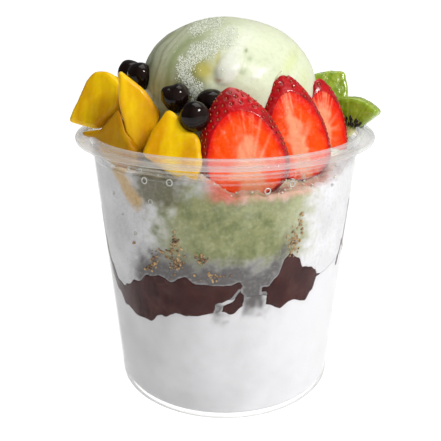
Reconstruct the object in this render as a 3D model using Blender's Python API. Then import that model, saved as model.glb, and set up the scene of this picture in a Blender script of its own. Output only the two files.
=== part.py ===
"""Shaved ice dessert in a clear plastic cup: white ice, a band of red bean paste, green tea ice,
a scoop of green tea ice cream, and a ring of mango, tapioca pearls, strawberry and kiwi."""

import math

import bmesh
import bpy
from mathutils import Vector, noise

# All sizes are in millimetres. The cup's axis is +Z and its base lies on z = 0.
MM = 0.001
GAP = 0.3                    # clearance between pieces that touch

# The clear cup
WALL = 1.1
FOOT_RADIUS = 45.0           # outside, just above the bottom corner
FOOT_CORNER = 2.2
SHOULDER_RADIUS = 52.1       # outside, where the straight taper ends
SHOULDER_Z = 97.0
FLOOR_Z = 2.6                # top of the floor inside
INSIDE_CORNER = 2.0          # radius between floor and wall
RECESS = 0.9                 # the panel under the floor is raised this much
RECESS_RADIUS = 38.5
COLLAR_RADIUS = 53.0         # the stacking step below the lip
COLLAR_Z = 100.8
LIP_RADIUS = 58.5
LIP_UNDERSIDE_Z = 103.7
LIP_THICKNESS = 1.5
LIP_ROOT = 1.2               # the lip's top is level this far out from the collar
RIM_ROUNDING = 0.7           # at the mouth's inner edge and in the lip's lower crease
CUP_HEIGHT = 106.2
STEPS = 40                   # sides of every turned shape

# The layers, as heights at the wall; the bean band rises and falls round the cup
BEAN_BOTTOM_Z = 47.0
BEAN_TOP_Z = 59.5
ICE_EDGE_Z = 102.0
ICE_CROWN = 9.0              # the heap stands this much higher in the middle
RINGS = 3
# Each swell of the band at the wall: (rise, angle round the cup, width in degrees)
BEAN_BOTTOM_SWELLS = ((-6.5, -44.0, 16.0), (9.0, -84.0, 16.0), (12.0, 72.0, 16.0))
BEAN_TOP_SWELLS = ((21.0, -88.0, 20.0), (11.0, 28.0, 8.0), (14.0, 72.0, 14.0))
SWELL_FADE = 3               # power of the radius by which a swell fades towards the middle
# Unevenness of each surface: (height, size of a wave, which stretch of the noise)
BEAN_BOTTOM_RELIEF = (2.2, 9.0, 1.0)
BEAN_TOP_RELIEF = (2.4, 8.0, 4.0)
ICE_RELIEF = (1.5, 11.0, 8.0)

# The scoop: a ball pressed a little flatter, tipped slightly to the right
SCOOP_PLACE = (1.9, 5.0, 121.2)
SCOOP_HALVES = (34.3, 31.5, 26.0)    # half its width, depth and height
SCOOP_TIP = 5.0
SCOOP_RELIEF = 1.2
LUMP_SHARE = 0.45            # size of a lump on a ball, as a share of its radius

# Toppings
PEARL_RADIUS = 5.3
PEARL_RELIEF = 0.5
PEARL_TURN = 40.0            # each pearl is turned this much further than the last
BERRY_SHOULDER = 0.30        # widest place, as a share of the length from the leaf end
BERRY_SHOULDER_POWER = 2.4   # how square the leaf end is
BERRY_TIP_POWER = 1.9        # how full the sides stay towards the tip
BERRY_TIP_BLUNTNESS = 1.5
BERRY_BACK_POWER = 0.8       # how full the back stays towards both ends
BERRY_CUT_ANGLE = 30.0       # the knife passes this far round in front of the core
BERRY_END_DEPTH = 0.3        # where leaf end and tip lie, as a share of the depth
BERRY_ROWS = 10
BERRY_COLUMNS = 9
KIWI_THICKNESS = 7.5
KIWI_ROUNDING = 1.6
KIWI_BACK_SHARE = 0.97
BEVEL_SEGMENTS = 2


def radians(*angles):
    return tuple(math.radians(angle) for angle in angles)


def clear_scene():
    for obj in list(bpy.data.objects):
        bpy.data.objects.remove(obj, do_unlink=True)


def material(name, colour, roughness, alpha=1.0):
    made = bpy.data.materials.new(name)
    made.use_nodes = True
    shader = made.node_tree.nodes["Principled BSDF"]
    shader.inputs["Base Color"].default_value = (*colour, 1.0)
    shader.inputs["Roughness"].default_value = roughness
    shader.inputs["Metallic"].default_value = 0.0
    shader.inputs["Alpha"].default_value = alpha
    return made


def make_materials():
    return {
        "clear_plastic": material("clear_plastic", (0.86, 0.87, 0.87), 0.12, 0.3),
        "white_ice": material("white_ice", (0.86, 0.86, 0.87), 0.55),
        "bean_paste": material("bean_paste", (0.06, 0.025, 0.025), 0.4),
        "green_ice": material("green_ice", (0.27, 0.30, 0.16), 0.5),
        "ice_cream": material("ice_cream", (0.60, 0.66, 0.42), 0.45),
        "mango_flesh": material("mango_flesh", (0.80, 0.42, 0.01), 0.35),
        "tapioca": material("tapioca", (0.01, 0.006, 0.005), 0.12),
        "strawberry_flesh": material("strawberry_flesh", (0.75, 0.06, 0.03), 0.3),
        "kiwi_flesh": material("kiwi_flesh", (0.30, 0.42, 0.05), 0.35),
    }


def add_object(name, mesh, finish, place=(0, 0, 0), turn=(0, 0, 0)):
    """Puts a mesh in the scene. place is in millimetres; turn is (lean back, roll, face right)."""
    if not mesh.materials:
        mesh.materials.append(finish)
    obj = bpy.data.objects.new(name, mesh)
    lean, roll, face = turn
    obj.rotation_mode = "YXZ"
    obj.rotation_euler = radians(-lean, roll, face)
    obj.location = [value * MM for value in place]
    bpy.context.scene.collection.objects.link(obj)
    return obj


def mesh_from(name, bm, smooth_under=35.0):
    """Closes the bmesh into a mesh in metres, with faces out and round parts shaded smooth."""
    bmesh.ops.recalc_face_normals(bm, faces=bm.faces)
    bmesh.ops.scale(bm, vec=(MM, MM, MM), verts=bm.verts)
    mesh = bpy.data.meshes.new(name)
    bm.to_mesh(mesh)
    bm.free()
    mesh.shade_smooth()
    mesh.set_sharp_from_angle(angle=math.radians(smooth_under))
    return mesh


def arc(centre, radius, start, end, count):
    """Points along an arc in the profile's (radius, height) plane, angles in degrees."""
    points = []
    for step in range(count + 1):
        angle = math.radians(start + (end - start) * step / count)
        points.append((centre[0] + radius * math.cos(angle), centre[1] + radius * math.sin(angle)))
    return points


def outer_radius(z):
    """Outside of the cup's straight taper."""
    share = (z - FOOT_CORNER) / (SHOULDER_Z - FOOT_CORNER)
    return FOOT_RADIUS + (SHOULDER_RADIUS - FOOT_RADIUS) * share


def inner_radius(z):
    return outer_radius(z) - WALL


def cup_profile():
    """The cup's section from the floor's centre, up inside, over the lip and down outside."""
    corner_z = FLOOR_Z + INSIDE_CORNER
    corner_centre = (inner_radius(corner_z) - INSIDE_CORNER, corner_z)
    corner = arc(corner_centre, INSIDE_CORNER, -90, 0, 3)
    lip_mid_z = LIP_UNDERSIDE_Z + LIP_THICKNESS / 2
    lip_edge = arc((LIP_RADIUS - LIP_THICKNESS / 2, lip_mid_z), LIP_THICKNESS / 2, 80, -90, 4)
    foot_centre = (FOOT_RADIUS - FOOT_CORNER, FOOT_CORNER)
    foot = arc(foot_centre, FOOT_CORNER, 0, -90, 3)
    return [
        (0.0, FLOOR_Z),
        *corner,
        (inner_radius(SHOULDER_Z), SHOULDER_Z),
        (COLLAR_RADIUS - WALL, COLLAR_Z),
        (COLLAR_RADIUS - WALL, CUP_HEIGHT - RIM_ROUNDING),
        (COLLAR_RADIUS - WALL + RIM_ROUNDING, CUP_HEIGHT),
        (COLLAR_RADIUS + LIP_ROOT, CUP_HEIGHT),
        *lip_edge,
        (COLLAR_RADIUS + RIM_ROUNDING, LIP_UNDERSIDE_Z),
        (COLLAR_RADIUS, LIP_UNDERSIDE_Z - RIM_ROUNDING),
        (COLLAR_RADIUS, COLLAR_Z),
        (SHOULDER_RADIUS, SHOULDER_Z),
        *foot,
        (RECESS_RADIUS + RECESS, 0.0),
        (RECESS_RADIUS, RECESS),
        (0.0, RECESS),
    ]


def turned(name, profile, finish):
    """A solid turned about the Z axis from a profile that runs down its outer side."""
    mesh = bpy.data.meshes.new(name)
    edges = [(index, index + 1) for index in range(len(profile) - 1)]
    mesh.from_pydata([(r * MM, 0.0, z * MM) for r, z in profile], edges, [])
    obj = add_object(name, mesh, finish)
    screw = obj.modifiers.new("turn", "SCREW")
    screw.steps = STEPS
    screw.render_steps = STEPS
    screw.use_merge_vertices = True
    screw.merge_threshold = 0.0001
    screw.use_smooth_shade = True
    return obj


def bump(angle, middle, width):
    """1 at the middle angle, falling away on both sides; all in degrees."""
    away = (angle - middle + 180.0) % 360.0 - 180.0
    return math.exp(-((away / width) ** 2))


def unevenness(x, y, relief):
    height, scale, stretch = relief
    return height * noise.noise(Vector((x / scale, y / scale, stretch)))


def angle_of(x, y):
    """Degrees round the cup: 0 faces the viewer, +90 is the right side."""
    return math.degrees(math.atan2(x, -y))


def swelling(x, y, swells):
    """How far the swells lift a surface: all of their rise at the wall, nothing in the middle."""
    angle = angle_of(x, y)
    share = min(1.0, math.hypot(x, y) / inner_radius(BEAN_TOP_Z))
    rise = sum(height * bump(angle, middle, width) for height, middle, width in swells)
    return rise * share**SWELL_FADE


def bean_bottom(x, y):
    return BEAN_BOTTOM_Z + unevenness(x, y, BEAN_BOTTOM_RELIEF) + swelling(x, y, BEAN_BOTTOM_SWELLS)


def bean_top(x, y):
    return BEAN_TOP_Z + unevenness(x, y, BEAN_TOP_RELIEF) + swelling(x, y, BEAN_TOP_SWELLS)


def ice_top(x, y):
    share = min(1.0, math.hypot(x, y) / inner_radius(ICE_EDGE_Z))
    return ICE_EDGE_Z + ICE_CROWN * (1.0 - share**2) + unevenness(x, y, ICE_RELIEF)


def floor_level(x, y):
    return FLOOR_Z + GAP


def surface_ring(bm, height, share, rounding=0.0):
    """One ring of points on a layer's surface, at a share of the cup's inner radius."""
    ring = []
    for step in range(STEPS):
        angle = 2.0 * math.pi * step / STEPS
        out = Vector((math.sin(angle), -math.cos(angle)))
        z = height(*(out * inner_radius(BEAN_TOP_Z) * share))
        for _ in range(2):
            reach = (inner_radius(z) - GAP) * share - rounding
            z = height(out.x * reach, out.y * reach)
        ring.append(bm.verts.new((out.x * reach, out.y * reach, z)))
    return ring


def join_rings(bm, first, second):
    for step in range(STEPS):
        after = (step + 1) % STEPS
        bm.faces.new((first[step], first[after], second[after]))
        bm.faces.new((first[step], second[after], second[step]))


def cover(bm, height, rounding=0.0):
    """A layer's upper or lower surface, from the middle point out to the wall."""
    middle = bm.verts.new((0.0, 0.0, height(0.0, 0.0)))
    rings = []
    for index in range(1, RINGS + 1):
        edge_rounding = rounding if index == RINGS else 0.0
        rings.append(surface_ring(bm, height, index / RINGS, edge_rounding))
    for step in range(STEPS):
        bm.faces.new((middle, rings[0][step], rings[0][(step + 1) % STEPS]))
    for first, second in zip(rings, rings[1:]):
        join_rings(bm, first, second)
    return rings[-1]


def make_layer(name, finish, bottom, top, bottom_rounding=0.0):
    """A layer that fills the cup from one uneven surface to the next."""
    bm = bmesh.new()
    low = cover(bm, bottom, bottom_rounding)
    high = cover(bm, lambda x, y: top(x, y) - GAP)
    join_rings(bm, low, high)
    return add_object(name, mesh_from(name, bm), finish)


def make_layers(finishes):
    """White ice, bean paste and green tea ice; returns the last, which the toppings press into."""
    make_layer("shaved_ice", finishes["white_ice"], floor_level, bean_bottom, INSIDE_CORNER)
    make_layer("red_bean", finishes["bean_paste"], bean_bottom, bean_top)
    return make_layer(
        "green_tea_ice", finishes["green_ice"], bean_top, lambda x, y: ice_top(x, y) + GAP
    )


def ball_mesh(name, halves, segments, rings, relief):
    """A lumpy ball of the given half width, depth and height."""
    bm = bmesh.new()
    bmesh.ops.create_uvsphere(bm, u_segments=segments, v_segments=rings, radius=1.0)
    for vert in bm.verts:
        swell = 1.0 + relief * noise.noise(vert.co / LUMP_SHARE) / halves[0]
        vert.co = Vector(half * value for half, value in zip(halves, vert.co)) * swell
    return mesh_from(name, bm, smooth_under=60.0)


def make_scoop(finish):
    mesh = ball_mesh("ice_cream_scoop", SCOOP_HALVES, 18, 10, SCOOP_RELIEF)
    return add_object("ice_cream_scoop", mesh, finish, SCOOP_PLACE, (0, SCOOP_TIP, 0))


def make_pearls(finish):
    places = (
        (-37.0, 5.0, 126.0),
        (-31.8, -5.5, 126.2),
        (-17.3, -26.6, 121.6),
        (-10.2, -37.8, 117.2),
        (-4.8, -26.5, 119.5),
        (-34.5, 16.0, 123.4),
        (-7.6, 40.6, 116.0),
        (-26.5, 27.5, 121.0),
    )
    mesh = ball_mesh("pearl", (PEARL_RADIUS,) * 3, 9, 6, PEARL_RELIEF)
    return [
        add_object(f"pearl_{number}", mesh, finish, place, (0, 0, PEARL_TURN * number))
        for number, place in enumerate(places, start=1)
    ]


def slab_mesh(name, outline, depth, rounding, back_share=0.9):
    """A cut block: its front outline lies in the XZ plane, and it runs back along +Y."""
    bm = bmesh.new()
    middle_x = sum(x for x, _ in outline) / len(outline)
    middle_z = sum(z for _, z in outline) / len(outline)
    front = [bm.verts.new((x, 0.0, z)) for x, z in outline]
    back = []
    for x, z in outline:
        back_x = middle_x + (x - middle_x) * back_share
        back_z = middle_z + (z - middle_z) * back_share
        back.append(bm.verts.new((back_x, depth, back_z)))
    bm.faces.new(front)
    bm.faces.new(back)
    count = len(outline)
    for step in range(count):
        after = (step + 1) % count
        bm.faces.new((front[step], front[after], back[after], back[step]))
    bmesh.ops.recalc_face_normals(bm, faces=bm.faces)
    bmesh.ops.bevel(
        bm,
        geom=list(bm.edges),
        offset=rounding,
        segments=BEVEL_SEGMENTS,
        profile=0.5,
        affect="EDGES",
        clamp_overlap=True,
    )
    bmesh.ops.triangulate(bm, faces=bm.faces)
    return mesh_from(name, bm, smooth_under=40.0)


def make_mango(finish):
    """Blocks of mango: (place, turn, front outline, depth, rounding, back share)."""
    left_block = [(-15.5, -9.5), (-7.5, 8), (-3.5, 11.5), (2.5, 11.5), (10, 7), (10.5, 0), (0, -11)]
    low_block = [(-21, -2.4), (-10, -0.2), (-1.3, 9), (2.6, -0.3), (8.8, -7.6), (7.6, -18), (-2.5, -13)]
    crescent = [(-6.3, 15.6), (2.4, 8.3), (7.8, 0.5), (4.4, -7.8), (-1, -14.6), (-4.9, -6.3), (-6.8, 4.4)]
    front_block = [(-7.5, 4.5), (-2, 13), (3.5, 9), (9.5, 2.5), (10.5, -6), (7.5, -14.5), (-10.5, -3)]
    cube = [(-8.0, -8.0), (-7.0, 8.0), (7.5, 7.0), (8.5, -7.0)]
    long_block = [(-10.0, -7.0), (-8.0, 7.5), (9.0, 6.0), (10.0, -8.0)]
    blocks = (
        ((-47.5, -10.0, 117.5), (14.0, 0.0, -28.0), left_block, 11.0, 2.0, 0.8),
        ((-37.2, -29.2, 110.0), (10.0, 0.0, -34.0), low_block, 7.0, 1.5, 0.85),
        ((-30.2, -28.0, 115.8), (8.0, 0.0, 8.0), crescent, 8.0, 1.3, 1.0),
        ((-18.0, -41.5, 108.0), (22.0, 0.0, -6.0), front_block, 9.0, 1.6, 0.95),
        ((-42.5, 27.0, 114.0), (24.0, 8.0, -122.0), cube, 14.0, 2.0, 0.9),
        ((-22.0, 44.0, 112.0), (28.0, -6.0, -158.0), long_block, 13.0, 2.0, 0.9),
    )
    made = []
    for number, (place, turn, outline, depth, rounding, back_share) in enumerate(blocks, start=1):
        name = f"mango_{number}"
        mesh = slab_mesh(name, outline, depth, rounding, back_share)
        made.append(add_object(name, mesh, finish, place, turn))
    return made


def berry_half_width(share):
    """Half width of a strawberry at a share of its length from the leaf end, where 1 is the most."""
    if share < BERRY_SHOULDER:
        return math.sqrt(1.0 - (1.0 - share / BERRY_SHOULDER) ** BERRY_SHOULDER_POWER)
    past = (share - BERRY_SHOULDER) / (1.0 - BERRY_SHOULDER)
    return (1.0 - past**BERRY_TIP_POWER) ** (1.0 / BERRY_TIP_BLUNTNESS)


def berry_mesh(name, length, width, depth):
    """A strawberry cut lengthwise in front of its core: flat face in the XZ plane, tip up."""
    cut_angle = math.radians(BERRY_CUT_ANGLE)
    half_depth = depth / (1.0 + math.sin(cut_angle))
    bm = bmesh.new()
    leaf_end = bm.verts.new((0.0, depth * BERRY_END_DEPTH, 0.0))
    tip = bm.verts.new((0.0, depth * BERRY_END_DEPTH, length))
    rings = []
    for row in range(1, BERRY_ROWS):
        share = 0.5 - 0.5 * math.cos(math.pi * row / BERRY_ROWS)
        half = berry_half_width(share)
        ring = []
        for column in range(BERRY_COLUMNS + 1):
            angle = -cut_angle + (math.pi + 2.0 * cut_angle) * column / BERRY_COLUMNS
            across = 0.5 * width * half * math.cos(angle)
            back = half_depth * half**BERRY_BACK_POWER * (math.sin(angle) + math.sin(cut_angle))
            ring.append(bm.verts.new((across, back, length * share)))
        ring.append(bm.verts.new((0.0, 0.0, length * share)))
        rings.append(ring)
    count = BERRY_COLUMNS + 2
    for first, second in zip(rings, rings[1:]):
        for column in range(count):
            after = (column + 1) % count
            corners = (first[column], first[after], second[after], second[column])
            bm.faces.new(corners[:3])
            bm.faces.new((corners[0], corners[2], corners[3]))
    for column in range(count):
        after = (column + 1) % count
        bm.faces.new((leaf_end, rings[0][after], rings[0][column]))
        bm.faces.new((tip, rings[-1][column], rings[-1][after]))
    return mesh_from(name, bm, smooth_under=50.0)


def make_strawberries(finish):
    """Halves and slices: (place of the leaf end, turn, length, width, depth)."""
    halves = (
        ((9.8, -45.2, 90.0), (17.0, -9.0, 8.0), 39.5, 31.5, 10.5),
        ((29.9, -29.5, 91.9), (15.5, -10.0, 14.0), 40.5, 25.4, 8.0),
        ((39.0, -12.3, 92.0), (14.0, 1.0, 20.0), 34.5, 22.0, 5.0),
        ((6.0, 45.5, 91.0), (14.0, 0.0, 174.0), 35.0, 25.0, 10.0),
    )
    made = []
    for number, (place, turn, length, width, depth) in enumerate(halves, start=1):
        name = f"strawberry_{number}"
        mesh = berry_mesh(name, length, width, depth)
        made.append(add_object(name, mesh, finish, place, turn))
    return made


def make_kiwi(finish):
    """A chunk, and half slices: (place of the core, turn, radius, first and last angle, thickness)."""
    chunk = [(-7.5, 8.5), (-0.5, 10), (5.7, 9.8), (7.7, 0), (5.5, -9), (-8, -9)]
    slices = (
        ((48.4, -2.0, 102.0), (4.0, 0.0, -30.0), 15.8, 42.0, 222.0),
        ((29.5, 39.5, 107.5), (16.0, 0.0, 142.0), 15.0, -8.0, 176.0),
    )
    chunk_mesh = slab_mesh("kiwi_1", chunk, 7.0, 1.2, KIWI_BACK_SHARE)
    made = [add_object("kiwi_1", chunk_mesh, finish, (44.0, 18.0, 116.0), (25.0, 0.0, -6.0))]
    for number, (place, turn, radius, start, end) in enumerate(slices, start=2):
        name = f"kiwi_{number}"
        outline = arc((0.0, 0.0), radius, start, end, 8)
        mesh = slab_mesh(name, outline, KIWI_THICKNESS, KIWI_ROUNDING, KIWI_BACK_SHARE)
        made.append(add_object(name, mesh, finish, place, turn))
    return made


def make_room(finish):
    """A hidden guide: the inside of the cup below the lip, and open space above it."""
    above = CUP_HEIGHT + GAP
    collar_reach = COLLAR_RADIUS - WALL - GAP
    profile = [
        (0.0, 2.0 * CUP_HEIGHT),
        (2.0 * LIP_RADIUS, 2.0 * CUP_HEIGHT),
        (2.0 * LIP_RADIUS, above),
        (collar_reach, above),
        (collar_reach, COLLAR_Z),
        (inner_radius(SHOULDER_Z) - GAP, SHOULDER_Z),
        (inner_radius(BEAN_TOP_Z) - GAP, BEAN_TOP_Z),
        (0.0, BEAN_TOP_Z),
    ]
    room = turned("room_inside", profile, finish)
    room.hide_render = True
    room.display_type = "WIRE"
    return room


def trim_to(room, pieces):
    """Keeps the pieces off the cup: what would pass its wall or lip is pressed flat there."""
    for piece in pieces:
        trim = piece.modifiers.new("trim", "BOOLEAN")
        trim.operation = "INTERSECT"
        trim.solver = "EXACT"
        trim.object = room


def swollen_cutter(piece):
    """A hidden copy of a piece, larger by the clearance, that cuts its bed in a softer piece."""
    cutter = piece.copy()
    cutter.name = f"bed_{piece.name}"
    cutter.hide_render = True
    cutter.display_type = "WIRE"
    bpy.context.scene.collection.objects.link(cutter)
    swell = cutter.modifiers.new("swell", "DISPLACE")
    swell.strength = 1.5 * GAP * MM
    swell.mid_level = 0.0
    return cutter


def press_into(soft, cutters):
    for cutter in cutters:
        cut = soft.modifiers.new(f"bed {cutter.name}", "BOOLEAN")
        cut.operation = "DIFFERENCE"
        cut.solver = "EXACT"
        cut.object = cutter


# Which cut fruit gives way to which neighbour where they lean on each other
LEANS = {
    "mango_2": ("mango_3",),
    "mango_4": ("strawberry_1", "pearl_4"),
    "mango_6": ("pearl_7",),
    "strawberry_1": ("pearl_4",),
    "strawberry_4": ("pearl_7", "kiwi_3"),
}


def build():
    clear_scene()
    finishes = make_materials()
    turned("cup", cup_profile(), finishes["clear_plastic"])
    upper_ice = make_layers(finishes)
    scoop = make_scoop(finishes["ice_cream"])
    cut_fruit = [
        *make_mango(finishes["mango_flesh"]),
        *make_strawberries(finishes["strawberry_flesh"]),
        *make_kiwi(finishes["kiwi_flesh"]),
    ]
    pearls = make_pearls(finishes["tapioca"])
    beds = {piece.name: swollen_cutter(piece) for piece in (*cut_fruit, *pearls)}
    trim_to(make_room(finishes["clear_plastic"]), cut_fruit)
    for piece in cut_fruit:
        press_into(piece, [beds[name] for name in LEANS.get(piece.name, ())])
    press_into(scoop, beds.values())
    press_into(upper_ice, [*beds.values(), swollen_cutter(scoop)])


build()
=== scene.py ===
"""Looks of the shaved ice dessert: a clear cup of white ice, red bean paste and green tea ice under
a scoop of green tea ice cream, with mango, tapioca pearls, strawberries and kiwi round it."""

import math
import random

import bpy
import numpy as np
from mathutils import Euler, Matrix, Vector, noise
from mathutils.kdtree import KDTree


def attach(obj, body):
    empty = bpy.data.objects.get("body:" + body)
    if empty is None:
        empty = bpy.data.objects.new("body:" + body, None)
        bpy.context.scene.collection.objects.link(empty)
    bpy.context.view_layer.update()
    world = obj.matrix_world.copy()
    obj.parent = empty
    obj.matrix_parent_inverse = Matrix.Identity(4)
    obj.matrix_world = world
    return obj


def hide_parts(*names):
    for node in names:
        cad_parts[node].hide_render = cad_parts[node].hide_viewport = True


# Sizes are in millimetres, angles in degrees. Round the cup, 0 faces the camera and +90 is its right.
MM = 0.001

# Camera: on the cup's axis plane, looking down at the rim
CAMERA_PLACE = (0.0, -257.2, 159.7)
CAMERA_DROP = 20.0
CAMERA_LENS = 53.48
CAMERA_SENSOR = 36.0
CAMERA_SHIFT = -0.0102

# The cup
WALL = 1.1
FOOT_RADIUS = 45.0
FOOT_CORNER = 2.2
SHOULDER_RADIUS = 52.1
SHOULDER_Z = 97.0
FLOOR_Z = 2.6
RECESS = 0.9
RECESS_RADIUS = 38.5
COLLAR_RADIUS = 53.0
COLLAR_Z = 100.8
LIP_RADIUS = 58.5
CUP_HEIGHT = 106.2
CUP_STEPS = 240
FLOOR_CORNER = 2.0
INTO_WALL = 0.55             # the contents reach this far into the wall, so no gap shows

# Where the plastic is thicker or bent it is drawn less clear, partly for its thickness and partly as painted
# reflection lines: (height, half width, how much)
PLASTIC_PAINTED_LINES = ((106.0, 0.7, 0.35), (104.4, 2.4, 0.18), (103.5, 0.5, 0.25), (100.6, 0.8, 0.30),
                 (99.3, 0.6, 0.22), (97.2, 0.6, 0.16), (2.2, 0.8, 0.3), (0.5, 1.8, 0.7))

# The layers at the wall
COLUMNS = 500
WHITE_ROWS = 70
PASTE_ROWS = 90
GREEN_ROWS = 66
HEAP_STEPS = 46
PASTE_LOWER = ((-180, 48), (-120, 46), (-92, 66), (-84, 61), (-73, 57), (-60, 46), (-54, 42),
               (-46, 40), (-37, 39.5), (-29, 44), (-22, 46), (-15, 45.7), (-7, 47.5), (-1, 49),
               (3, 47.7), (8, 51), (14, 52), (19, 50), (24, 48), (31, 50.5), (38, 48.5), (42, 51),
               (45, 57), (62, 61), (85, 56), (120, 49), (150, 52), (180, 48))
PASTE_UPPER = ((-180, 61), (-120, 66), (-92, 88), (-84, 77), (-76, 66), (-66, 56), (-58, 50.2),
               (-54, 50), (-50, 52), (-43, 55), (-35, 59.5), (-29, 61), (-23, 59), (-17, 61.5),
               (-13, 59.3), (-5, 59), (2, 59.2), (6, 60.6), (9, 58), (18, 58), (22, 61.5),
               (26, 68), (28, 70.5), (32, 67.5), (35, 63), (39, 62), (43, 60), (45, 57),
               (62, 57), (85, 60), (120, 62), (150, 59), (180, 61))
# Places where ice shows in front of the paste: (angle, z, angle, z, half width)
PASTE_GAPS = ((-3.4, 44, -2.6, 51, 1.3), (-2.6, 51, 3, 53.5, 0.35), (3, 53.5, 6.0, 57.5, 0.4),
              (11.0, 44, 12.0, 60, 3.1), (9.5, 57, 12.0, 64, 2.2), (15.5, 50, 16.5, 55, 1.2))
# Smears of paste off the band, the same way, and the side they are on
SMEAR_SIDE = (58.0, 80.0)
SMEAR_TOP = 84.0
PASTE_SMEARS = ((69.5, 62, 74, 80, 0.7), (66, 60, 68, 65, 0.8), (63.5, 56.5, 64.5, 59, 0.9))

SCOOP_PLACE = (1.9, 5.0, 121.2)
SCOOP_HALVES = (34.3, 31.5, 26.0)    # half its width, depth and height
SCOOP_TIP = 5.0

PEARL_RADIUS = 5.3

# How fine the meshes are, and how many loose things there are
FRUIT_VOXEL = 0.42
GRAIN_COUNT = 2600
FROST_COUNT = 3600

# Inside the heap the layers meet at these heights
WHITE_LEVEL = 47.0
PASTE_LOW_LEVEL = 46.0
GREEN_LEVEL = 60.0
HEAP_RADIUS = 50.0
INNER_STATIONS = ((2.5, 0.0), (10.0, 0.6), (30.0, 1.0))


def clamp(value, low=0.0, high=1.0):
    return max(low, min(high, value))


def smooth(low, high, value):
    """0 below low, 1 above high, with an S-curve between."""
    share = clamp((value - low) / (high - low))
    return share * share * (3.0 - 2.0 * share)


def between(low, high, share):
    return low + (high - low) * share


def mix(first, second, share):
    return [between(a, b, share) for a, b in zip(first, second)]


def bearing(x, y):
    """Degrees round the cup's axis."""
    return math.degrees(math.atan2(x, -y))


def linear(red, green, blue):
    """A colour given as 0 to 255 screen values."""
    values = [value / 255.0 for value in (red, green, blue)]
    return [value / 12.92 if value <= 0.04045 else ((value + 0.055) / 1.055) ** 2.4 for value in values]


def rough(point, scale, seed=0.0, octaves=1):
    """Smooth noise, about -1 to 1, with features of the given size."""
    total = 0.0
    strength = 1.0
    place = Vector(point)
    for octave in range(octaves):
        total += strength * noise.noise(place / scale + Vector((seed, 3.1 * seed, octave)))
        strength *= 0.5
        scale *= 0.5
    return total


# --- materials ---


class Finish:
    """A material in the making. Each method adds nodes and returns an output socket."""

    def __init__(self, name, **sockets):
        self.material = bpy.data.materials.new(name)
        self.material.use_nodes = True
        self.tree = self.material.node_tree
        self.shader = self.tree.nodes["Principled BSDF"]
        self.fill(self.shader, **sockets)
        self.place = self.node("ShaderNodeTexCoord").outputs["Object"]

    def node(self, kind, **settings):
        made = self.tree.nodes.new(kind)
        for name, value in settings.items():
            setattr(made, name, value)
        return made

    def link(self, value, socket):
        """Joins an output to a socket, or sets the socket to a plain value."""
        if isinstance(value, bpy.types.NodeSocket):
            self.tree.links.new(value, socket)
        else:
            socket.default_value = value

    def fill(self, node, **sockets):
        """Sets or links sockets by name, with _ for a space."""
        for name, value in sockets.items():
            self.link(value, node.inputs[name.replace("_", " ")])
        return node

    def noise(self, size, detail=3.0):
        """Noise with features of this many millimetres."""
        node = self.node("ShaderNodeTexNoise")
        self.fill(node, Scale=1.0 / (size * MM), Detail=detail, Vector=self.place)
        return node.outputs["Fac"]

    def cells(self, size):
        node = self.node("ShaderNodeTexVoronoi")
        self.fill(node, Scale=1.0 / (size * MM), Vector=self.place)
        return node.outputs["Distance"]

    def ramp(self, value, low, high, low_to=0.0, high_to=1.0):
        node = self.node("ShaderNodeMapRange", interpolation_type="SMOOTHSTEP")
        self.fill(node, Value=value, From_Min=low, From_Max=high, To_Min=low_to, To_Max=high_to)
        return node.outputs["Result"]

    def blend(self, share, first, second, kind="MIX"):
        node = self.node("ShaderNodeMix", data_type="RGBA", blend_type=kind)
        self.link(share, node.inputs[0])
        for socket, value in ((6, first), (7, second)):
            joined = isinstance(value, bpy.types.NodeSocket)
            self.link(value if joined else (*value[:3], 1.0), node.inputs[socket])
        return node.outputs[2]

    def calc(self, operation, first, second=0.0):
        node = self.node("ShaderNodeMath", operation=operation)
        self.link(first, node.inputs[0])
        self.link(second, node.inputs[1])
        return node.outputs[0]

    def attribute(self, name):
        return self.node("ShaderNodeAttribute", attribute_name=name)

    def bump(self, height, depth, strength=1.0):
        """Relief of this many millimetres."""
        node = self.node("ShaderNodeBump")
        self.fill(node, Height=height, Distance=depth * MM, Strength=strength)
        return node.outputs["Normal"]

    def set(self, **sockets):
        self.fill(self.shader, **sockets)
        return self


def glow_under(finish, weight, reach, colour):
    """Light that passes a little way through: reach in millimetres."""
    finish.set(Subsurface_Weight=weight, Subsurface_Scale=reach * MM, Subsurface_Radius=colour)


def clear_plastic():
    """Thin clear plastic: see-through face on, brighter and greyer towards its edges. That edge tone, set by
    how squarely the plastic faces the view, is a painted reflection with painted dark edge lines.
    """
    finish = Finish("clear_plastic_look", Roughness=0.07, IOR=1.5)
    haze = finish.ramp(finish.noise(9.0, 4.0), 0.35, 0.75, 0.005, 0.022)
    facing = finish.fill(finish.node("ShaderNodeLayerWeight"), Blend=0.25)
    # Facing ramp: more opaque and darker grey where the plastic turns from the view, a painted reflection and
    # painted dark edge line
    edge = finish.ramp(facing.outputs["Facing"], 0.2, 1.0, 0.0, 0.6)
    height = finish.fill(finish.node("ShaderNodeSeparateXYZ"), Vector=finish.place).outputs["Z"]
    haze_and_painted_reflection = finish.calc("ADD", haze, edge)
    # Bands at the lip, collar and foot: painted reflection lines, partly the plastic's thickness
    for middle, half, share in PLASTIC_PAINTED_LINES:
        away = finish.calc("ABSOLUTE", finish.calc("SUBTRACT", height, middle * MM))
        haze_and_painted_reflection = finish.calc("ADD", haze_and_painted_reflection, finish.ramp(away, 0.0, half * MM, share, 0.0))
    shade = finish.blend(edge, (0.66, 0.66, 0.65), (0.30, 0.30, 0.29))
    finish.set(Base_Color=shade, Normal=finish.bump(finish.noise(14.0, 2.0), 0.25, 0.35))
    finish.set(Alpha=finish.calc("MINIMUM", haze_and_painted_reflection, 0.9))
    return finish.material


def flecked(name, size, first, second, relief=None, **sockets):
    """A material of two colours in flecks of this size, with relief given as (size, depth)."""
    finish = Finish(name, **sockets)
    finish.set(Base_Color=finish.blend(finish.noise(size), first, second))
    if relief:
        finish.set(Normal=finish.bump(finish.noise(relief[0]), relief[1]))
    return finish.material


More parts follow.
